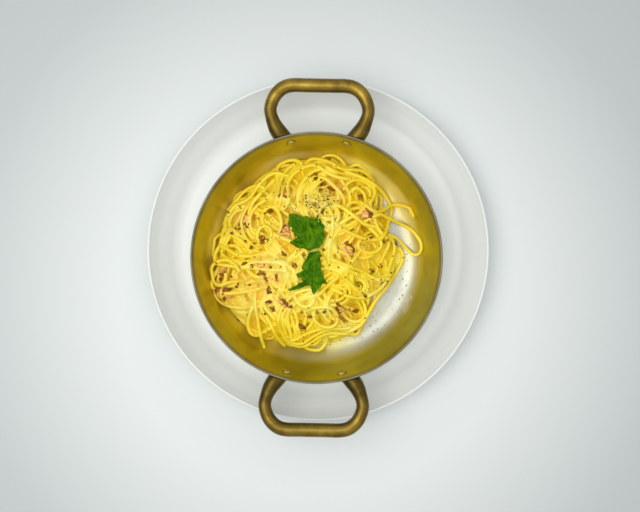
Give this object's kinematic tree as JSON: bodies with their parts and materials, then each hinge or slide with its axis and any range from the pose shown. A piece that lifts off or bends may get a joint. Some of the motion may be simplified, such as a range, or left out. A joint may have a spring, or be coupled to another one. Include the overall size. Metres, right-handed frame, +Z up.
{
  "type": "spaghetti carbonara in a serving pan",
  "caption": "Spaghetti carbonara with bacon, pepper and flat herb leaves, heaped in a shallow round metal serving pan with brass loop handles that stands on a white plate",
  "frame": {"origin": "on the table, under the middle of the whole object's bounding box", "axes": "+Z up, +Y towards the handle at the back, +X to the right; the handles lie along Y"},
  "size_m": [0.28, 0.2888, 0.0525],
  "materials": {
    "porcelain": "glossy white glaze",
    "pan_metal": "satin, lightly worn",
    "aged_brass": "aged, satin",
    "spaghetti": "moist, coated in a thin creamy sauce",
    "bacon": "moist, fried",
    "herb": "fresh leaf, slightly waxy"
  },
  "bodies": {
    "root": {"plate": "porcelain", "pan": "pan_metal", "handle_back": "aged_brass", "handle_front": "aged_brass", "rivet_back_left": "aged_brass", "rivet_back_right": "aged_brass", "rivet_front_left": "aged_brass", "rivet_front_right": "aged_brass", "spaghetti": "spaghetti", "bacon_1": "bacon", "bacon_2": "bacon", "bacon_3": "bacon", "bacon_4": "bacon", "bacon_5": "bacon", "bacon_6": "bacon", "bacon_7": "bacon", "bacon_8": "bacon", "bacon_9": "bacon", "bacon_10": "bacon", "bacon_11": "bacon", "bacon_12": "bacon", "bacon_13": "bacon", "leaf_upper": "herb", "leaf_lower": "herb"}
  },
  "joints": []
}
